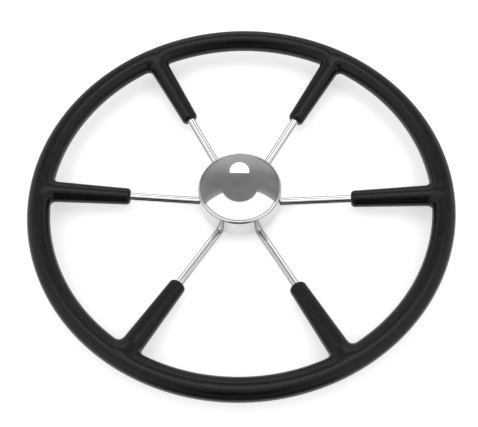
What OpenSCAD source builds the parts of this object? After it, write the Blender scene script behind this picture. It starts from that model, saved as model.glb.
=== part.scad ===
// Ship steering wheel. Six straight rods run from a taper-bored boss up to a steel ring, and
// black foam covers the ring and the outer part of each rod. A polished drum with a domed,
// lift-off cap hides the boss. Millimetres. The origin is the centre of the boss's back face,
// +Z runs along the wheel's axis towards the cap, and the first spoke lies over +X.

/* [Rim] */
// Outside diameter of the wheel
wheel_d = 550; // [450:10:650]
// Diameter of the foam rim's round section
rim_d = 29; // [27:0.5:34]
// Height of the rim's centre circle above the boss's back face
rim_z = 38; // [36:1:42]
// Outside diameter of the steel tube inside the rim
core_d = 16; // [15:0.5:18]
// Wall thickness of the steel tube
core_wall = 1.5; // [1.5:0.25:2.5]

/* [Spokes] */
// Diameter of a spoke rod
rod_d = 11; // [9.5:0.5:12]
// Height at which the spoke axes would cross the wheel's axis
spoke_z = 9.6; // [9.2:0.1:10]
// How far the spoke axes pass below the rim's centre circle
spoke_drop = 1; // [0:0.25:1.5]
// Distance from the wheel's axis to the inner end of a rod
rod_start = 16.5; // [16:0.5:18]

/* [Grips] */
// Distance from the wheel's axis to the inner end of a grip, along the spoke
grip_start = 145; // [120:1:165]
// Diameter of a grip at its inner end
grip_inner_d = 21.6; // [20:0.2:24]
// Diameter of a grip where it runs into the rim
grip_outer_d = 27.4; // [25:0.2:28]
// Radius of the rounded inner end of a grip
grip_round = 5; // [3:0.5:5]

/* [Hub] */
// Diameter of the boss
boss_d = 68; // [66:1:74]
// Height of the boss
boss_h = 34; // [33:0.5:35]
// Diameter of the drum at its lower edge
drum_d = 107.6; // [106:0.2:110]
// Amount by which the drum narrows towards its upper edge, on the diameter
drum_taper = 0.4; // [0:0.1:1.4]
// Height of the drum's lip, where it meets the cap
drum_top = 52.3; // [51:0.1:54]
// Radius of the drum's rounded shoulder
shoulder = 3.3; // [3.3:0.1:4]
// Thickness of the drum's skirt
skirt_wall = 3; // [2.5:0.1:3.5]

/* [Cap] */
// Diameter of the cap
cap_d = 100.2; // [98.4:0.1:100.4]
// Height of the dome above the cap's edge
dome_rise = 7.8; // [6:0.1:10]
// Thickness of the dome
cap_wall = 2.2; // [1.8:0.1:2.6]

/* [Shaft seat] */
// Large end of the shaft taper, a three-quarter-inch marine taper
taper_d = 19.05; // [19:0.01:19.2]
// Length over which the bore narrows by one unit on the diameter
taper_rate = 12; // [10:0.5:14]
// Width of the keyway
key_w = 4.8; // [4.7:0.05:5.1]
// Depth of the keyway beyond the bore's large end
key_depth = 2.4; // [2:0.1:2.6]
// Diameter of the recess that the shaft's nut sits in
nut_recess_d = 38; // [34:1:40]
// Height of the recess floor, which the nut's washer bears on
nut_seat_z = 28; // [26:0.5:29]

/* [Hidden] */
$fn = 96;

// Fits between neighbours, as radial clearances
bond_gap = 0.1;     // foam to steel
socket_gap = 0.02;  // rod in its socket
weld_gap = 0.05;    // rod in the ring's drilled hole
thread_gap = 0.05;  // screw in its threaded hole
slide_gap = 0.05;   // cap spigot in the drum

// Rim
rim_r = rim_d / 2;
ring_r = wheel_d / 2 - rim_r;
core_r = core_d / 2;

// Spokes: the rods climb from the boss to the ring
spokes = 6;
rod_r = rod_d / 2;
spoke_rise = rim_z - spoke_drop - spoke_z;
spoke_angle = atan(spoke_rise / ring_r);
rod_end = (ring_r - core_r + core_wall + 2.5) / cos(spoke_angle);

// Grips: the last stretch tapers in so that the grip ends inside the rim
grip_full = ring_r - 11;
grip_end = ring_r + 1.5;
grip_end_d = 24;

// Boss
boss_r = boss_d / 2;
boss_chamfer = 1.5;
mouth_d = 19.5;
mouth_depth = 3;
taper_top_d = taper_d - (nut_seat_z - mouth_depth) / taper_rate;

// Screws that lock the rods, driven from the back face
grub_d = 5;
grub_pcd = 50;
grub_start = 0.6;
grub_end = spoke_z + (grub_pcd - grub_d) / 2 * tan(spoke_angle) - rod_r / cos(spoke_angle) - 0.1;

// Drum
drum_r = drum_d / 2;
drum_top_r = (drum_d - drum_taper) / 2;
edge_round = 1.6;
skirt_clear = 0.8;
skirt_z = spoke_z + drum_r * tan(spoke_angle) + rod_r / cos(spoke_angle) + skirt_clear;
web_t = 3.5;
web_top = boss_h + web_t;
web_hole_r = nut_recess_d / 2 + 3;
seat_r = 50.5;
seat_z = 47;
drum_bore_r = 47.5;

// Drum's lip: a rounded shoulder from the cap's seat out to the wall
shoulder_x = drum_top_r - shoulder;
lip_angle = asin((seat_r - shoulder_x) / shoulder);
shoulder_z = drum_top - shoulder * cos(lip_angle);

// Screws that hold the drum on the boss
cover_screws_n = 3;
screw_d = 5;
screw_pcd = 54;
screw_len = 12;
screw_head_d = 8.5;
screw_head_h = 3;
screw_hole_spare = 1.2;
first_screw = 30;

// Cap
cap_r = cap_d / 2;
cap_edge_z = seat_z + 5.1;
dome_r = (cap_r * cap_r + dome_rise * dome_rise) / (2 * dome_rise);
dome_centre = cap_edge_z + dome_rise - dome_r;
cap_chamfer = 0.9;
spigot_r = drum_bore_r - slide_gap;
spigot_wall = 3;
spigot_z = 39.5;

// Sealing ring in the spigot's groove
seal_d = 1.8;
seal_gap = 0.02;
groove_depth = 1.8;
groove_w = 2.4;
groove_z = 41.5;

// Points of an arc about [x, y], from angle a to angle b
function arc(x, y, r, a, b, steps = 8) =
  [for (i = [0:steps]) let (t = a + (b - a) * i / steps) [x + r * cos(t), y + r * sin(t)]];

// A ring of round section in the rim's plane
module ring(section_r) {
  translate([0, 0, rim_z])
    rotate_extrude()
      translate([ring_r, 0]) circle(r = section_r);
}

// Puts its children on spoke i, with their +Z along the spoke's axis
module on_spoke(i) {
  rotate([0, 0, 360 / spokes * i])
    translate([0, 0, spoke_z])
      rotate([0, 90 - spoke_angle, 0])
        children();
}

// The space that a rod takes, from one distance along the spoke to another
module rod_bar(i, from, to, r) {
  on_spoke(i)
    translate([0, 0, from]) cylinder(r = r, h = to - from);
}

// Steel tube bent to a ring, drilled on its inner side for the rods
module rim_core() {
  color("gray")
    difference() {
      ring(core_r);
      ring(core_r - core_wall);
      for (i = [0:spokes - 1]) rod_bar(i, ring_r - 2 * core_r, rod_end + 0.5, rod_r + weld_gap);
    }
}

// One straight polished rod
module spoke(i) {
  color("lightgray")
    rod_bar(i, rod_start, rod_end, rod_r);
}

// Outside of one grip: a rounded end, a long swell, and a root that ends inside the rim
module grip_body() {
  rotate_extrude()
    polygon(concat(
      [[0, grip_start]],
      arc(grip_inner_d / 2 - grip_round, grip_start + grip_round, grip_round, -90, 0),
      [[grip_outer_d / 2, grip_full],
       [grip_end_d / 2, grip_end],
       [0, grip_end]]));
}

// Foam moulded in one piece over the ring and the outer part of every rod
module rim_grip() {
  color([0.09, 0.09, 0.09])
    difference() {
      union() {
        ring(rim_r);
        for (i = [0:spokes - 1]) on_spoke(i) grip_body();
      }
      ring(core_r + bond_gap);
      for (i = [0:spokes - 1]) rod_bar(i, grip_start - 5, rod_end + bond_gap, rod_r + bond_gap);
    }
}

// Turned boss: taper bore with keyway, nut recess, rod sockets and screw holes
module hub_boss() {
  color("silver")
    difference() {
      rotate_extrude()
        polygon([[0, 0], [boss_r - boss_chamfer, 0], [boss_r, boss_chamfer],
                 [boss_r, boss_h - boss_chamfer], [boss_r - boss_chamfer, boss_h], [0, boss_h]]);
      translate([0, 0, -1]) cylinder(d = mouth_d, h = mouth_depth + 1);
      translate([0, 0, mouth_depth])
        cylinder(d1 = taper_d, d2 = taper_top_d, h = nut_seat_z - mouth_depth);
      translate([0, 0, nut_seat_z]) cylinder(d = nut_recess_d, h = boss_h);
      translate([-key_w / 2, 0, -1]) cube([key_w, taper_d / 2 + key_depth, nut_seat_z + 2]);
      for (i = [0:spokes - 1]) rod_bar(i, rod_start - 0.1, boss_d, rod_r + socket_gap);
      grub_places()
        translate([0, 0, -1]) cylinder(d = grub_d + 2 * thread_gap, h = spoke_z);
      screw_places()
        translate([0, 0, web_top - screw_len - screw_hole_spare])
          cylinder(d = screw_d + 2 * thread_gap, h = screw_len + 5);
    }
}

// Places of the locking screws, one under each rod
module grub_places() {
  for (i = [0:spokes - 1])
    rotate([0, 0, 360 / spokes * i])
      translate([grub_pcd / 2, 0, 0]) children();
}

// Socket screws without heads that lock the rods in the boss
module spoke_screws() {
  color("dimgray")
    grub_places()
      difference() {
        translate([0, 0, grub_start]) cylinder(d = grub_d, h = grub_end - grub_start);
        translate([0, 0, grub_start - 1]) cylinder(d = 2.9, h = 3.2, $fn = 6);
      }
}

// Places of the drum's screws, between the spokes
module screw_places() {
  for (i = [0:cover_screws_n - 1])
    rotate([0, 0, first_screw + 360 / cover_screws_n * i])
      translate([screw_pcd / 2, 0, 0]) children();
}

// Polished drum: skirt, rounded shoulder, seat for the cap, and a web on top of the boss
module hub_cover() {
  color("gainsboro")
    difference() {
      rotate_extrude()
        polygon(concat(
          [[web_hole_r, boss_h],
           [drum_r - skirt_wall, boss_h],
           [drum_r - skirt_wall, skirt_z]],
          arc(drum_r - edge_round, skirt_z + edge_round, edge_round, -90, 0),
          arc(shoulder_x, shoulder_z, shoulder, 0, 90 - lip_angle, 12),
          [[seat_r, seat_z],
           [drum_bore_r, seat_z],
           [drum_bore_r, web_top],
           [web_hole_r, web_top]]));
      screw_places()
        translate([0, 0, boss_h - 1]) cylinder(d = screw_d + 0.5, h = web_t + 2);
    }
}

// Button-head screws that hold the drum on the boss
module cover_screws() {
  color("dimgray")
    screw_places()
      difference() {
        union() {
          translate([0, 0, web_top - screw_len]) cylinder(d = screw_d, h = screw_len + 0.5);
          translate([0, 0, web_top])
            cylinder(d1 = screw_head_d, d2 = screw_head_d - 2, h = screw_head_h);
        }
        translate([0, 0, web_top + 1]) cylinder(d = 3.5, h = screw_head_h, $fn = 6);
      }
}

// Domed cap with a spigot that drops into the drum's bore
module centre_cap() {
  color("whitesmoke")
    rotate_extrude()
      difference() {
        intersection() {
          translate([0, dome_centre]) circle(r = dome_r, $fn = 720);
          polygon([[0, spigot_z], [spigot_r, spigot_z],
                   [spigot_r, groove_z], [spigot_r - groove_depth, groove_z],
                   [spigot_r - groove_depth, groove_z + groove_w], [spigot_r, groove_z + groove_w],
                   [spigot_r, seat_z], [cap_r, seat_z],
                   [cap_r, cap_edge_z - cap_chamfer], [cap_r - cap_chamfer, cap_edge_z + 1],
                   [cap_r - cap_chamfer, cap_edge_z + dome_rise + 1],
                   [0, cap_edge_z + dome_rise + 1]]);
        }
        intersection() {
          translate([0, dome_centre]) circle(r = dome_r - cap_wall, $fn = 720);
          translate([0, spigot_z - 1])
            square([spigot_r - spigot_wall, cap_edge_z + dome_rise]);
        }
      }
}

// Rubber ring that holds the cap and keeps water out of the hub
module cap_seal() {
  color([0.15, 0.15, 0.15])
    translate([0, 0, groove_z + groove_w / 2])
      rotate_extrude()
        translate([drum_bore_r - seal_gap - seal_d / 2, 0]) circle(d = seal_d, $fn = 32);
}

rim_core();
spoke(0);  // spoke_1
spoke(1);  // spoke_2
spoke(2);  // spoke_3
spoke(3);  // spoke_4
spoke(4);  // spoke_5
spoke(5);  // spoke_6
rim_grip();
hub_boss();
spoke_screws();
hub_cover();
cover_screws();
centre_cap();
cap_seal();
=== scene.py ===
"""Looks for the ship steering wheel: foam rim and grips, polished rods, drum and domed cap.

Every length is in metres in the row frame: the origin is the centre of the hub boss's back face, +Z runs
along the wheel's axis to the cap, and the first spoke lies over +X.
"""

import math

import bmesh
import bpy
import numpy as np
from mathutils import Matrix, Vector


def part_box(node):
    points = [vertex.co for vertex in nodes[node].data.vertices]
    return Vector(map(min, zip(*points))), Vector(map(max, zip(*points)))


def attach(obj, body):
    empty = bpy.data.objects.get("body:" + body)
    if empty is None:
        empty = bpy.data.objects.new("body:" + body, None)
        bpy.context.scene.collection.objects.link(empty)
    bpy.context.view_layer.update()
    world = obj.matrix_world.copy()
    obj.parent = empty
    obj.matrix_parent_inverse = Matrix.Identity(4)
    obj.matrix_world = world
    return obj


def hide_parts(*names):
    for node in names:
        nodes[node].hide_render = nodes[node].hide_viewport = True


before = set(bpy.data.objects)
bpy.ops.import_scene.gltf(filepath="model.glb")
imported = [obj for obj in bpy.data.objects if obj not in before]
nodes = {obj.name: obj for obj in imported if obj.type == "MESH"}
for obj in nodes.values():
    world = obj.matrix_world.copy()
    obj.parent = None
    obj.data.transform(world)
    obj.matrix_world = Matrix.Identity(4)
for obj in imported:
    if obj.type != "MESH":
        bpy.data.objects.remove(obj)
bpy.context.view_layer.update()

MM = 0.001
SPOKES = 6

# Sizes read from the frame
foam_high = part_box("rim_grip")[1]
core_low, core_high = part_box("rim_core")
rod_low, rod_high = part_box("spoke_1")
boss_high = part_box("hub_boss")[1]
drum_low, drum_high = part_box("hub_cover")
cap_low, cap_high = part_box("centre_cap")

CORE_R = (core_high.z - core_low.z) / 2
RIM_Z = (core_high.z + core_low.z) / 2
RIM_R = foam_high.z - RIM_Z
RING_R = foam_high.x - RIM_R
ROD_R = rod_high.y


def rod_axis():
    """Angle, start and end of the first rod along its axis, and the axis's height over the origin.

    The rod's box holds its length and its slope together, so the angle is found in rounds.
    """
    width, height = rod_high.x - rod_low.x, rod_high.z - rod_low.z
    angle = 0.0
    for _ in range(20):
        rise = height - 2 * ROD_R * math.cos(angle)
        angle = math.atan2(rise, width - 2 * ROD_R * math.sin(angle))
    start = (rod_low.x + ROD_R * math.sin(angle)) / math.cos(angle)
    end = (rod_high.x - ROD_R * math.sin(angle)) / math.cos(angle)
    return angle, start, end, rod_low.z + ROD_R * math.cos(angle) - start * math.sin(angle)


ROD_ANGLE, ROD_START, ROD_END, ROD_Z = rod_axis()

# Grips, along the rods
GRIP_START = 145 * MM
GRIP_FULL = RING_R - 11 * MM
GRIP_END = RING_R + 1.5 * MM
GRIP_INNER_R = 10.8 * MM
GRIP_OUTER_R = 13.7 * MM
GRIP_ROOT_R = 12 * MM
GRIP_ROUND = 5 * MM
FILLET = 8.5 * MM
FOAM_GAP = 0.1 * MM
HOLE_LEAD = 5 * MM
ROD_CHAMFER = 0.3 * MM

# Drum and cap
DRUM_TAPER = 0.2 * MM
SHOULDER = 3.3 * MM
SKIRT_WALL = 3 * MM
SKIRT_ROUND = 1.6 * MM
SKIRT_INNER_ROUND = 0.4 * MM
WEB = 3.5 * MM
WEB_HOLE_R = 22 * MM
SEAT_R = 50.5 * MM
SEAT_Z = 47 * MM
BORE_R = 47.5 * MM
COVER_SCREWS = 3
SCREW_HOLE_R = 2.75 * MM
SCREW_PCD_R = 27 * MM
FIRST_SCREW = math.radians(30)
DOME_RISE = 7.8 * MM
CAP_WALL = 2.2 * MM
CAP_ROUND = 0.8 * MM
CAP_CHAMFER = 0.3 * MM
SPIGOT_R = 47.45 * MM
SPIGOT_WALL = 3 * MM
SPIGOT_CHAMFER = 0.4 * MM
GROOVE_DEPTH = 1.8 * MM
GROOVE_LOW = 41.5 * MM
GROOVE_HIGH = 43.9 * MM

# Fineness of the meshes: faces round each shape, and the foam's voxels
LATHE_SEGMENTS = 192
RIM_SEGMENTS = 240
FOAM_SEGMENTS = 32
HOLLOW_SEGMENTS = 24
ROD_SEGMENTS = 64
HOLE_SEGMENTS = 48
VOXEL = 1.5 * MM
SMOOTHINGS = 4

# Grain of the materials, as noise scales in features to the metre, and how far the cells bend
FOAM_CELLS = 620
FOAM_WARP = 220
FOAM_WARP_REACH = 0.8 * MM
FOAM_PORES = 2400
FOAM_PATCHES = 34
FOAM_GLINTS = 520
BUFFING_MARKS = 900
STEEL_SMEARS = 30
STEEL_WAVES = 55
STEEL_STAINS = 60
RUBBER_BLOOM = 140
RUBBER_GRAIN = 3000
TABLE_TONES = 3

# Studio, as polished steel sees it by direction: discs in the plan of directions (x, y, radius)
DIFFUSER = (0.01, -0.377, 0.816)
BRIGHT = (0.0, 0.45, 0.61)
NOTCH = (-0.033, 0.4845, 0.265)
LAMP = (-0.045, 0.722, 0.129)
LAMP_CUT = 0.703
DISC_EDGE = 0.012
CUT_EDGE = 0.008
BRIGHT_EDGE = 0.08
GLOW_SPREAD = 0.05
GLOW_EDGE = 0.07
CLOUD_SCALE = 4

# Where the walls, the dark figure in front and the table's painted shade in reflections start and end,
# along directions
SIDE_WALLS_SPAN = (0.50, 0.80)
BACK_WALL_SPAN = (0.62, 0.95)
LOW_WALLS_SPAN = (0.50, 0.30)
LOW_FRONT_SPAN = (-0.90, -0.70)
FIGURE_DEPTH = (-0.54, -0.64)
FIGURE_FOOT = (0.10, 0.26)
FIGURE_WIDTH = (0.45, 0.25)
SKIM_SPAN = (0.80, 0.20)
FRONT_SPAN = (0.60, 0.84)
FRONT_SKIM_SPAN = (0.72, 0.42)

# Levels of light, with white paper near 1
OVERHEAD_BRIGHT = 2.5
OVERHEAD_DIM = 0.9
LAMP_LEVEL = 3.5
CEILING = 0.44
CLOUD_RANGE = 0.5
CLOUD_LEAST = 0.75
BACK_WALL = 0.48
SIDE_WALLS = 0.50
LOW_WALLS = 1.0
LOW_FRONT = 0.4
GLOW = 0.30
FIGURE_SHADE = 0.96
AMBIENT = 0.38
TABLE_GLOW = 0.42
# How dark the table's painted shade gets in skimming reflections
SKIM_PAINTED_SHADE = 0.45

# The soft light overhead: level, width and tilt to the front in degrees
KEY_LEVEL = 1.85
KEY_WIDTH = 90
KEY_TILT = 10

# Strip lights that only one rod each sees: spoke number, level, and the way to the light
STRIP_WIDTH = 30
STRIPS = {
    2: (1.7, (-0.27, 0.75, 0.60)),
    3: (1.5, (0.24, 0.77, 0.59)),
    5: (1.1, (-0.34, 0.75, 0.56)),
    6: (1.1, (0.25, 0.75, 0.61)),
}

# Floor, and camera with its place and target from the rim's centre
FLOOR_HALF = 4.0
FLOOR_DROP = 0.2 * MM
CAMERA_PLACE = Vector((36.3, -518.0, 843.9)) * MM
CAMERA_TARGET = Vector((-0.4, -31.4, 0)) * MM
CAMERA_ROLL = 3.09
CAMERA_LENS = 57.56
SENSOR_WIDTH = 36


# ---------------------------------------------------------------- meshes


def new_object(name, vertices, faces):
    """A mesh object from its points and faces."""
    mesh = bpy.data.meshes.new(name)
    mesh.from_pydata([tuple(v) for v in vertices], [], [tuple(f) for f in faces])
    mesh.update()
    obj = bpy.data.objects.new(name, mesh)
    bpy.context.scene.collection.objects.link(obj)
    return obj


def finish_shading(obj, sharp_degrees=30):
    """Outward normals, smooth faces, and creases where two faces meet at more than the given angle."""
    bm = bmesh.new()
    bm.from_mesh(obj.data)
    bmesh.ops.recalc_face_normals(bm, faces=bm.faces)
    limit = math.radians(sharp_degrees)
    for face in bm.faces:
        face.smooth = True
    for edge in bm.edges:
        edge.smooth = not (edge.is_manifold and edge.calc_face_angle() > limit)
    bm.to_mesh(obj.data)
    bm.free()


def arc(centre_r, centre_z, radius, from_degrees, to_degrees, steps=10):
    """Profile points on an arc."""
    turns = [from_degrees + (to_degrees - from_degrees) * i / steps for i in range(steps + 1)]
    angles = [math.radians(turn) for turn in turns]
    return [(centre_r + radius * math.cos(a), centre_z + radius * math.sin(a)) for a in angles]


def lathe(name, profile, segments=LATHE_SEGMENTS):
    """Turns a closed profile of (radius, height) points round the Z axis.

    A point on the axis becomes one vertex.
    """
    vertices, rows = [], []
    for radius, height in profile:
        if radius < 1e-9:
            rows.append([len(vertices)] * segments)
            vertices.append((0, 0, height))
            continue
        rows.append(list(range(len(vertices), len(vertices) + segments)))
        for i in range(segments):
            angle = 2 * math.pi * i / segments
            vertices.append((radius * math.cos(angle), radius * math.sin(angle), height))
    faces = []
    for a, b in zip(rows, rows[1:] + rows[:1]):
        for i in range(segments):
            j = (i + 1) % segments
            corners = [a[i], a[j], b[j], b[i]]
            face = [v for n, v in enumerate(corners) if v not in corners[:n]]
            if len(face) > 2:
                faces.append(face)
    return new_object(name, vertices, faces)


def torus(name, section, across):
    """A ring of round section on the rim's centre line."""
    turns = [2 * math.pi * i / across for i in range(across)]
    profile = [(RING_R + section * math.cos(t), RIM_Z + section * math.sin(t)) for t in turns]
    return lathe(name, profile, RIM_SEGMENTS)


def spoke_matrix(index):
    """Places a shape made round the Z axis on a spoke, with its +Z outwards along the rod."""
    turn = Matrix.Rotation(2 * math.pi * index / SPOKES, 4, "Z")
    lift = Matrix.Translation((0, 0, ROD_Z))
    tilt = Matrix.Rotation(math.pi / 2 - ROD_ANGLE, 4, "Y")
    return turn @ lift @ tilt


def rod(name, index, radius, start, end, chamfer=ROD_CHAMFER, segments=ROD_SEGMENTS):
    """A round bar on a spoke, with chamfered ends."""
    profile = [
        (0, start),
        (radius - chamfer, start),
        (radius, start + chamfer),
        (radius, end - chamfer),
        (radius - chamfer, end),
        (0, end),
    ]
    obj = lathe(name, profile, segments)
    obj.data.transform(spoke_matrix(index))
    return obj


def boolean(obj, tool, operation):
    """Applies a boolean with the tool object and removes the tool."""
    modifier = obj.modifiers.new("boolean", "BOOLEAN")
    modifier.operation = operation
    modifier.solver = "MANIFOLD"
    modifier.object = tool
    apply_modifiers(obj)
    bpy.data.objects.remove(tool)


def apply_modifiers(obj):
    """Bakes an object's modifiers into its mesh."""
    graph = bpy.context.evaluated_depsgraph_get()
    mesh = bpy.data.meshes.new_from_object(obj.evaluated_get(graph), depsgraph=graph)
    obj.modifiers.clear()
    obj.data = mesh
    mesh.name = obj.name


def coordinates(mesh):
    """A mesh's points as an array."""
    points = np.zeros(len(mesh.vertices) * 3)
    mesh.vertices.foreach_get("co", points)
    return points.reshape(-1, 3)


# ---------------------------------------------------------------- foam rim and grips


def ring_distance(points):
    """Distance to the rim's round tube."""
    across = np.hypot(points[:, 0], points[:, 1]) - RING_R
    return np.hypot(across, points[:, 2] - RIM_Z) - RIM_R


def grip_distance(points, index):
    """Distance to one grip: a tapered bar with a rounded inner end."""
    turn = 2 * math.pi * index / SPOKES
    outward = points[:, 0] * math.cos(turn) + points[:, 1] * math.sin(turn)
    aside = points[:, 1] * math.cos(turn) - points[:, 0] * math.sin(turn)
    height = points[:, 2] - ROD_Z
    along = outward * math.cos(ROD_ANGLE) + height * math.sin(ROD_ANGLE)
    off_axis = np.hypot(aside, height * math.cos(ROD_ANGLE) - outward * math.sin(ROD_ANGLE))
    radius = np.interp(along, (GRIP_START, GRIP_FULL, GRIP_END), (GRIP_INNER_R, GRIP_OUTER_R, GRIP_ROOT_R))
    over_side = off_axis - (radius - GRIP_ROUND)
    over_end = np.maximum(GRIP_START + GRIP_ROUND - along, along - GRIP_END + GRIP_ROUND)
    outside = np.hypot(np.maximum(over_side, 0), np.maximum(over_end, 0))
    return outside + np.minimum(np.maximum(over_side, over_end), 0) - GRIP_ROUND


def foam_distance(points):
    """The ring and the grips, blended into one moulding where they meet."""
    grips = np.min([grip_distance(points, i) for i in range(SPOKES)], axis=0)
    rim = ring_distance(points)
    overlap = np.maximum(FILLET - np.abs(rim - grips), 0) / FILLET
    return np.minimum(rim, grips) - overlap**2 * FILLET / 4


def settle(points, rounds=4, step=0.05 * MM, least_slope=0.3):
    """Moves points onto the foam's surface, down the slope of the distance."""
    for _ in range(rounds):
        value = foam_distance(points)
        slope = np.empty_like(points)
        for axis in range(3):
            shift = np.zeros(3)
            shift[axis] = step
            slope[:, axis] = (foam_distance(points + shift) - foam_distance(points - shift)) / (2 * step)
        slope /= np.maximum(np.linalg.norm(slope, axis=1), least_slope)[:, None]
        points = points - slope * value[:, None]
    return points


def relax(points, edges, share=0.5):
    """Moves each point towards the mean of its neighbours."""
    total, count = np.zeros_like(points), np.zeros(len(points))
    for a, b in ((0, 1), (1, 0)):
        np.add.at(total, edges[:, a], points[edges[:, b]])
        np.add.at(count, edges[:, a], 1)
    return points + share * (total / np.maximum(count, 1)[:, None] - points)


def foam_moulding():
    """The one-piece foam skin, with the hollows that the steel ring and the rods fill."""
    obj = torus("rim_grip_foam", RIM_R, FOAM_SEGMENTS)
    for i in range(SPOKES):
        grip = rod("grip", i, GRIP_OUTER_R, GRIP_START, GRIP_END, GRIP_ROUND, FOAM_SEGMENTS)
        boolean(obj, grip, "UNION")
    remesh = obj.modifiers.new("remesh", "REMESH")
    remesh.mode = "VOXEL"
    remesh.voxel_size = VOXEL
    apply_modifiers(obj)
    mesh = obj.data
    edges = np.zeros(len(mesh.edges) * 2, int)
    mesh.edges.foreach_get("vertices", edges)
    edges = edges.reshape(-1, 2)
    points = settle(coordinates(mesh))
    for _ in range(SMOOTHINGS):
        points = settle(relax(points, edges), rounds=2)
    mesh.vertices.foreach_set("co", points.ravel())
    mesh.update()
    boolean(obj, torus("hollow", CORE_R + FOAM_GAP, HOLLOW_SEGMENTS), "DIFFERENCE")
    hole_start, hole_end = GRIP_START - HOLE_LEAD, ROD_END + FOAM_GAP
    for i in range(SPOKES):
        hole = rod("hole", i, ROD_R + FOAM_GAP, hole_start, hole_end, segments=HOLE_SEGMENTS)
        boolean(obj, hole, "DIFFERENCE")
    finish_shading(obj, sharp_degrees=50)
    return obj


# ---------------------------------------------------------------- drum and cap


def drum():
    """The polished drum: skirt, web on the boss, bore and seat for the cap, and a rounded shoulder."""
    low_r, top_r = drum_high.x, drum_high.x - DRUM_TAPER
    low_z, top_z = drum_low.z, drum_high.z
    web_low, web_high = boss_high.z, boss_high.z + WEB
    inner_r = low_r - SKIRT_WALL
    inner_round_r, inner_round_z = inner_r + SKIRT_INNER_ROUND, low_z + SKIRT_INNER_ROUND
    shoulder_r = top_r - SHOULDER
    lip_angle = math.asin((SEAT_R - shoulder_r) / SHOULDER)
    shoulder_z = top_z - SHOULDER * math.cos(lip_angle)
    profile = (
        [(WEB_HOLE_R, web_low), (inner_r, web_low)]
        + arc(inner_round_r, inner_round_z, SKIRT_INNER_ROUND, 180, 270, 4)
        + arc(low_r - SKIRT_ROUND, low_z + SKIRT_ROUND, SKIRT_ROUND, 270, 360)
        + arc(shoulder_r, shoulder_z, SHOULDER, 0, 90 - math.degrees(lip_angle), 20)
        + [(SEAT_R, SEAT_Z), (BORE_R, SEAT_Z), (BORE_R, web_high), (WEB_HOLE_R, web_high)]
    )
    obj = lathe("hub_drum", profile)
    below, above = web_low - WEB, web_high + WEB
    hole_profile = [(0, below), (SCREW_HOLE_R, below), (SCREW_HOLE_R, above), (0, above)]
    for i in range(COVER_SCREWS):
        hole = lathe("hole", hole_profile, HOLE_SEGMENTS)
        turn = FIRST_SCREW + 2 * math.pi * i / COVER_SCREWS
        hole.location = (SCREW_PCD_R * math.cos(turn), SCREW_PCD_R * math.sin(turn), 0)
        bpy.context.view_layer.update()
        boolean(obj, hole, "DIFFERENCE")
    finish_shading(obj)
    return obj


def cap():
    """The domed cap, with its rounded edge, its spigot and the seal's groove."""
    cap_r, apex = cap_high.x, cap_high.z
    sphere_r = (cap_r**2 + DOME_RISE**2) / (2 * DOME_RISE)
    sphere_z = apex - sphere_r
    edge_angle = math.degrees(math.asin((cap_r - CAP_ROUND) / (sphere_r - CAP_ROUND)))
    round_z = sphere_z + (sphere_r - CAP_ROUND) * math.cos(math.radians(edge_angle))
    inner_r = SPIGOT_R - SPIGOT_WALL
    inner_sphere = sphere_r - CAP_WALL
    inner_angle = math.degrees(math.asin(inner_r / inner_sphere))
    profile = (
        arc(0, sphere_z, sphere_r, 90, 90 - edge_angle, 28)
        + arc(cap_r - CAP_ROUND, round_z, CAP_ROUND, 90 - edge_angle, 0, 8)[1:]
        + [(cap_r, SEAT_Z + CAP_CHAMFER), (cap_r - CAP_CHAMFER, SEAT_Z), (SPIGOT_R, SEAT_Z)]
        + [(SPIGOT_R, GROOVE_HIGH), (SPIGOT_R - GROOVE_DEPTH, GROOVE_HIGH)]
        + [(SPIGOT_R - GROOVE_DEPTH, GROOVE_LOW), (SPIGOT_R, GROOVE_LOW)]
        + [(SPIGOT_R, cap_low.z + SPIGOT_CHAMFER), (SPIGOT_R - SPIGOT_CHAMFER, cap_low.z)]
        + [(inner_r, cap_low.z)]
        + arc(0, sphere_z, inner_sphere, 90 - inner_angle, 90, 12)
    )
    profile[0] = (0, apex)
    profile[-1] = (0, sphere_z + inner_sphere)
    obj = lathe("hub_cap", profile)
    finish_shading(obj)
    return obj


# ---------------------------------------------------------------- node trees


class Tree:
    """A short way to write a node tree: numbers and colours go in as values, sockets go in as links."""

    def __init__(self, tree):
        self.tree = tree
        tree.nodes.clear()

    def add(self, kind, settings=None, **inputs):
        node = self.tree.nodes.new(kind)
        for key, value in (settings or {}).items():
            setattr(node, key, value)
        for key, value in inputs.items():
            self.put(node.inputs[key.replace("_", " ")], value)
        return node

    def put(self, socket, value):
        if isinstance(value, bpy.types.NodeSocket):
            self.tree.links.new(value, socket)
        elif value is not None:
            socket.default_value = value

    def math(self, operation, a, b=None, c=None, clamp=False):
        node = self.tree.nodes.new("ShaderNodeMath")
        node.operation = operation
        node.use_clamp = clamp
        for socket, value in zip(node.inputs, (a, b, c)):
            self.put(socket, value)
        return node.outputs[0]

    def length(self, a, b):
        return self.math("SQRT", self.math("MULTIPLY_ADD", a, a, self.math("MULTIPLY", b, b)))

    def ramp(self, value, low, high, to_low=0.0, to_high=1.0):
        """Eases from to_low to to_high as the value goes from low to high."""
        ends = {"From_Min": low, "From_Max": high, "To_Min": to_low, "To_Max": to_high}
        node = self.add("ShaderNodeMapRange", {"interpolation_type": "SMOOTHSTEP"}, Value=value, **ends)
        return node.outputs["Result"]

    def mix(self, share, a, b):
        node = self.add("ShaderNodeMix", {"data_type": "RGBA"})
        self.put(node.inputs["Factor"], share)
        self.put(node.inputs["A"], a)
        self.put(node.inputs["B"], b)
        return node.outputs["Result"]

    def noise(self, vector, scale, detail=2.0, roughness=0.5):
        inputs = {"Scale": scale, "Detail": detail, "Roughness": roughness}
        return self.add("ShaderNodeTexNoise", Vector=vector, **inputs).outputs["Fac"]


def grey(value):
    """A colour from one level."""
    return (value, value, value, 1.0)


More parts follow.
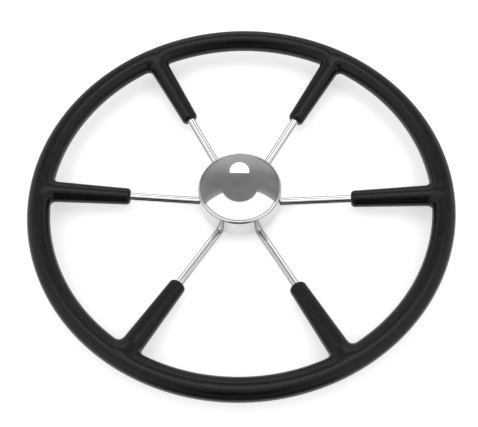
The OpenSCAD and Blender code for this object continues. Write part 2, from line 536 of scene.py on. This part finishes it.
def new_material(name):
    """A material with an empty tree, and the object's own coordinates in metres."""
    material = bpy.data.materials.new(name)
    material.use_nodes = True
    tree = Tree(material.node_tree)
    place = tree.add("ShaderNodeTexCoord").outputs["Object"]
    return material, tree, place


def surface(tree, **inputs):
    """Ends a material's tree with its surface."""
    shader = tree.add("ShaderNodeBsdfPrincipled", **inputs)
    tree.add("ShaderNodeOutputMaterial", Surface=shader.outputs["BSDF"])


def foam_material():
    """Black self-skinned foam: a leather grain of small cells with painted shade in their creases, satin,
    with faint worn patches.
    """
    material, tree, place = new_material("foam_black")
    warp = tree.noise(place, FOAM_WARP)
    bent = tree.add("ShaderNodeVectorMath", {"operation": "MULTIPLY_ADD"})
    tree.put(bent.inputs[0], warp)
    tree.put(bent.inputs[1], (FOAM_WARP_REACH,) * 3)
    tree.put(bent.inputs[2], place)
    to_edge = {"feature": "DISTANCE_TO_EDGE"}
    cells = tree.add("ShaderNodeTexVoronoi", to_edge, Vector=bent.outputs[0], Scale=FOAM_CELLS)
    # The crease mask both sinks the bump and paints shade into the colour
    creases = tree.ramp(cells.outputs["Distance"], 0.0, 0.32)
    pores = tree.noise(place, FOAM_PORES, 3.0, 0.6)
    patches = tree.noise(place, FOAM_PATCHES, 4.0, 0.6)
    glints = tree.noise(place, FOAM_GLINTS, 3.0, 0.7)
    height = tree.math("MULTIPLY_ADD", pores, 0.35, creases)
    bump = tree.add("ShaderNodeBump", Strength=0.28, Distance=0.16 * MM, Height=height)
    worn = tree.mix(tree.ramp(patches, 0.35, 0.7), grey(0.0022), grey(0.0055))
    # Painted shade: the foam's colour darkens in the grain's creases, where the bump sinks
    colour = tree.mix(creases, grey(0.0012), worn)
    rough = tree.math("MULTIPLY_ADD", patches, 0.14, 0.20)
    shine = tree.math("MULTIPLY_ADD", glints, 0.2, 0.17)
    surface(
        tree,
        Base_Color=colour,
        Roughness=rough,
        Normal=bump.outputs["Normal"],
        Specular_IOR_Level=shine,
    )
    return material


def polished_material(name, tone, roughness):
    """Polished stainless steel: fine buffing marks, faint waves and thin smears."""
    material, tree, place = new_material(name)
    marks = tree.noise(place, BUFFING_MARKS, 3.0, 0.6)
    smears = tree.noise(place, STEEL_SMEARS, 5.0, 0.6)
    waves = tree.noise(place, STEEL_WAVES, 1.0, 0.4)
    height = tree.math("MULTIPLY_ADD", marks, 0.04, waves)
    bump = tree.add("ShaderNodeBump", Strength=0.06, Distance=0.2 * MM, Height=height)
    colour = tree.mix(tree.ramp(smears, 0.3, 0.75), grey(tone), grey(tone * 0.93))
    rough = tree.math("MULTIPLY_ADD", smears, roughness, roughness * 0.6)
    surface(tree, Base_Color=colour, Metallic=1.0, Roughness=rough, Normal=bump.outputs["Normal"])
    return material


def machined_material(name, tone, roughness, pitch):
    """Turned or drawn steel: fine rings about the wheel's axis, with darker handling marks."""
    material, tree, place = new_material(name)
    parts = tree.add("ShaderNodeSeparateXYZ", Vector=place)
    radius = tree.length(parts.outputs["X"], parts.outputs["Y"])
    run = tree.math("ADD", radius, parts.outputs["Z"])
    rings = tree.math("SINE", tree.math("MULTIPLY", run, 2 * math.pi / pitch))
    stains = tree.noise(place, STEEL_STAINS, 5.0, 0.6)
    bump = tree.add("ShaderNodeBump", Strength=0.25, Distance=0.02 * MM, Height=rings)
    colour = tree.mix(tree.ramp(stains, 0.35, 0.75), grey(tone), grey(tone * 0.8))
    rough = tree.math("MULTIPLY_ADD", stains, 0.15, roughness)
    surface(tree, Base_Color=colour, Metallic=1.0, Roughness=rough, Normal=bump.outputs["Normal"])
    return material


def rubber_material():
    """Matte black rubber with a faint bloom."""
    material, tree, place = new_material("seal_rubber")
    bloom = tree.noise(place, RUBBER_BLOOM, 4.0, 0.6)
    grain = tree.noise(place, RUBBER_GRAIN)
    bump = tree.add("ShaderNodeBump", Strength=0.2, Distance=0.05 * MM, Height=grain)
    colour = tree.mix(bloom, grey(0.014), grey(0.03))
    surface(tree, Base_Color=colour, Roughness=0.7, Normal=bump.outputs["Normal"])
    return material


def floor_material():
    """A white table, lit a little from below. Reflections see painted shade on it: darker where they skim
    it, and black in front.
    """
    material, tree, place = new_material("floor_white")
    paper = tree.add(
        "ShaderNodeBsdfPrincipled",
        Base_Color=tree.mix(tree.noise(place, TABLE_TONES), grey(0.90), grey(0.91)),
        Roughness=1.0,
        Specular_IOR_Level=0.0,
        Emission_Color=grey(1.0),
        Emission_Strength=TABLE_GLOW,
    )
    # Painted shade that only reflections see: a black sheet mixed over the table for rays that skim it or
    # look to the front
    black = tree.add("ShaderNodeBsdfDiffuse", Color=grey(0.01))
    incoming = tree.add("ShaderNodeNewGeometry").outputs["Incoming"]
    back = tree.add("ShaderNodeSeparateXYZ", Vector=incoming).outputs
    skim = tree.ramp(back["Z"], *SKIM_SPAN, 0.0, SKIM_PAINTED_SHADE)
    front = tree.ramp(back["Y"], *FRONT_SPAN)
    front = tree.math("MULTIPLY", front, tree.ramp(back["Z"], *FRONT_SKIM_SPAN))
    reflected_shade_share = tree.math("MAXIMUM", skim, front)
    reflected_shade_share = tree.math("MULTIPLY", reflected_shade_share, tree.add("ShaderNodeLightPath").outputs["Is Glossy Ray"])
    mixed = tree.add("ShaderNodeMixShader", Fac=reflected_shade_share)
    tree.put(mixed.inputs[1], paper.outputs["BSDF"])
    tree.put(mixed.inputs[2], black.outputs["BSDF"])
    tree.add("ShaderNodeOutputMaterial", Surface=mixed.outputs["Shader"])
    return material


def dress(obj, material):
    """Gives every slot of an object one material."""
    if not obj.data.materials:
        obj.data.materials.append(material)
    for slot in obj.material_slots:
        slot.link = "OBJECT"
        slot.material = material


# ---------------------------------------------------------------- studio


class View:
    """The direction that a ray takes, with its parts, for levels of light that depend on it."""

    def __init__(self, tree):
        self.tree = tree
        self.way = tree.add("ShaderNodeTexCoord").outputs["Generated"]
        parts = tree.add("ShaderNodeSeparateXYZ", Vector=self.way).outputs
        self.x, self.y, self.z = parts["X"], parts["Y"], parts["Z"]
        self.aside = tree.math("ABSOLUTE", self.x)

    def disc(self, centre_x, centre_y, radius, edge=DISC_EDGE, inside=1.0, outside=0.0):
        """The level of a disc in the plan of directions, with a soft edge."""
        over_x = self.tree.math("SUBTRACT", self.x, centre_x)
        over_y = self.tree.math("SUBTRACT", self.y, centre_y)
        far = self.tree.length(over_x, over_y)
        return self.tree.ramp(far, radius - edge, radius + edge, inside, outside)


def walls_level(tree, view):
    """A cloudy ceiling and pale walls, brighter low down."""
    clouds = tree.noise(view.way, CLOUD_SCALE)
    clouds = tree.math("MULTIPLY_ADD", clouds, CLOUD_RANGE, CLOUD_LEAST)
    sides = tree.ramp(view.aside, *SIDE_WALLS_SPAN, 0.0, SIDE_WALLS)
    back = tree.ramp(view.y, *BACK_WALL_SPAN, 0.0, BACK_WALL)
    walls = tree.math("MULTIPLY_ADD", clouds, CEILING, tree.math("MAXIMUM", back, sides))
    low = tree.ramp(view.z, *LOW_WALLS_SPAN, 0.0, LOW_WALLS)
    low = tree.math("MULTIPLY", low, tree.ramp(view.y, *LOW_FRONT_SPAN, LOW_FRONT))
    return tree.math("MAXIMUM", walls, low)


def overhead_level(tree, view, clear):
    """A wide diffuser, brightest over the back of the wheel."""
    overhead = tree.math("MULTIPLY", view.disc(*DIFFUSER), clear)
    bright = view.disc(*BRIGHT, BRIGHT_EDGE, OVERHEAD_BRIGHT, OVERHEAD_DIM)
    return tree.math("MULTIPLY", overhead, bright)


def lamp_level(tree, view):
    """A round lamp behind the wheel, with its near side cut off straight."""
    beyond = tree.ramp(view.y, LAMP_CUT - CUT_EDGE, LAMP_CUT + CUT_EDGE)
    lamp = tree.math("MULTIPLY", view.disc(*LAMP), beyond)
    return tree.math("MULTIPLY", lamp, LAMP_LEVEL)


def figure_share(tree, view):
    """What a dark figure in front of the wheel leaves of the light."""
    figure = tree.math("MULTIPLY", tree.ramp(view.y, *FIGURE_DEPTH), tree.ramp(view.z, *FIGURE_FOOT))
    figure = tree.math("MULTIPLY", figure, tree.ramp(view.aside, *FIGURE_WIDTH))
    return tree.math("MULTIPLY_ADD", figure, -FIGURE_SHADE, 1.0)


def studio_world():
    """Even light for matt surfaces, the studio for polished ones, and white for the camera."""
    world = bpy.data.worlds.new("studio")
    world.use_nodes = True
    world.cycles.sampling_method = "NONE"
    bpy.context.scene.world = world
    tree = Tree(world.node_tree)
    view = View(tree)
    clear = tree.math("SUBTRACT", 1.0, view.disc(*NOTCH))
    diffuser_x, diffuser_y, diffuser_r = DIFFUSER
    glow = view.disc(diffuser_x, diffuser_y, diffuser_r + GLOW_SPREAD, GLOW_EDGE)
    glow = tree.math("MULTIPLY", glow, clear)
    level = tree.math("MULTIPLY_ADD", glow, GLOW, walls_level(tree, view))
    level = tree.math("MAXIMUM", level, overhead_level(tree, view, clear))
    level = tree.math("MAXIMUM", level, lamp_level(tree, view))
    level = tree.math("MULTIPLY", level, figure_share(tree, view))
    rays = tree.add("ShaderNodeLightPath").outputs
    over_ambient = tree.math("SUBTRACT", level, AMBIENT)
    strength = tree.math("MULTIPLY_ADD", over_ambient, rays["Is Glossy Ray"], AMBIENT)
    strength = tree.math("MULTIPLY_ADD", rays["Is Camera Ray"], 1 - AMBIENT, strength)
    background = tree.add("ShaderNodeBackground", Color=grey(1.0), Strength=strength)
    tree.add("ShaderNodeOutputWorld", Surface=background.outputs["Background"])


def key_light():
    """A very broad soft light overhead, which shades the floor close to the wheel."""
    data = bpy.data.lights.new("key", "SUN")
    data.angle = math.radians(KEY_WIDTH)
    data.energy = KEY_LEVEL
    lamp = bpy.data.objects.new("key", data)
    lamp.rotation_euler = (math.radians(KEY_TILT), 0, 0)
    lamp.visible_glossy = False
    bpy.context.scene.collection.objects.link(lamp)


def strip_light(bar, number):
    """A bright streak along one rod, from a light behind the wheel."""
    level, way = STRIPS[number]
    data = bpy.data.lights.new(f"strip_{number}", "SUN")
    data.angle = math.radians(STRIP_WIDTH)
    data.energy = level * math.pi * math.sin(data.angle / 2) ** 2
    lamp = bpy.data.objects.new(f"strip_{number}", data)
    lamp.rotation_euler = Vector(way).to_track_quat("Z", "Y").to_euler()
    bpy.context.scene.collection.objects.link(lamp)
    seen_by = bpy.data.collections.new(f"strip_{number}_seen_by")
    seen_by.objects.link(bar)
    lamp.light_linking.receiver_collection = seen_by


def floor():
    """A wide white floor, a hair below the boss's back face."""
    signs = ((-1, -1), (1, -1), (1, 1), (-1, 1))
    corners = [(x * FLOOR_HALF, y * FLOOR_HALF, -FLOOR_DROP) for x, y in signs]
    obj = new_object("floor", corners, [(0, 1, 2, 3)])
    dress(obj, floor_material())


def camera():
    """Looks down at the wheel from in front, 60 degrees below the horizon, with a slight roll."""
    rim_centre = Vector((0, 0, RIM_Z))
    data = bpy.data.cameras.new("camera")
    data.sensor_width = SENSOR_WIDTH
    data.lens = CAMERA_LENS
    data.clip_start = 0.01
    obj = bpy.data.objects.new("camera", data)
    bpy.context.scene.collection.objects.link(obj)
    aim = (CAMERA_TARGET - CAMERA_PLACE).to_track_quat("-Z", "Y").to_matrix().to_4x4()
    roll = Matrix.Rotation(-math.radians(CAMERA_ROLL), 4, "Z")
    obj.matrix_world = Matrix.Translation(rim_centre + CAMERA_PLACE) @ aim @ roll
    bpy.context.scene.camera = obj


# ---------------------------------------------------------------- assembly


def place_piece(obj, material, body, node):
    """Dresses a piece and lets it ride on its body in place of a CAD node."""
    dress(obj, material)
    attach(obj, body)
    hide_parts(node)


place_piece(foam_moulding(), foam_material(), "wheel", "rim_grip")

rod_steel = polished_material("rod_polish", 0.69, 0.06)
for i in range(SPOKES):
    number = i + 1
    bar = rod(f"spoke_rod_{number}", i, ROD_R, ROD_START, ROD_END)
    finish_shading(bar)
    place_piece(bar, rod_steel, "wheel", f"spoke_{number}")
    if number in STRIPS:
        strip_light(bar, number)

drum_steel = polished_material("drum_polish", 0.60, 0.06)
place_piece(drum(), drum_steel, "wheel", "hub_cover")

cap_steel = polished_material("cap_polish", 0.42, 0.04)
place_piece(cap(), cap_steel, "cap", "centre_cap")

screw_steel = machined_material("screw_steel", 0.35, 0.35, 0.3 * MM)
dress(nodes["hub_boss"], machined_material("boss_steel", 0.62, 0.25, 0.4 * MM))
dress(nodes["rim_core"], machined_material("core_steel", 0.45, 0.40, 0.5 * MM))
dress(nodes["spoke_screws"], screw_steel)
dress(nodes["cover_screws"], screw_steel)
dress(nodes["cap_seal"], rubber_material())

floor()
studio_world()
key_light()
camera()
bpy.context.scene.view_settings.view_transform = "Standard"
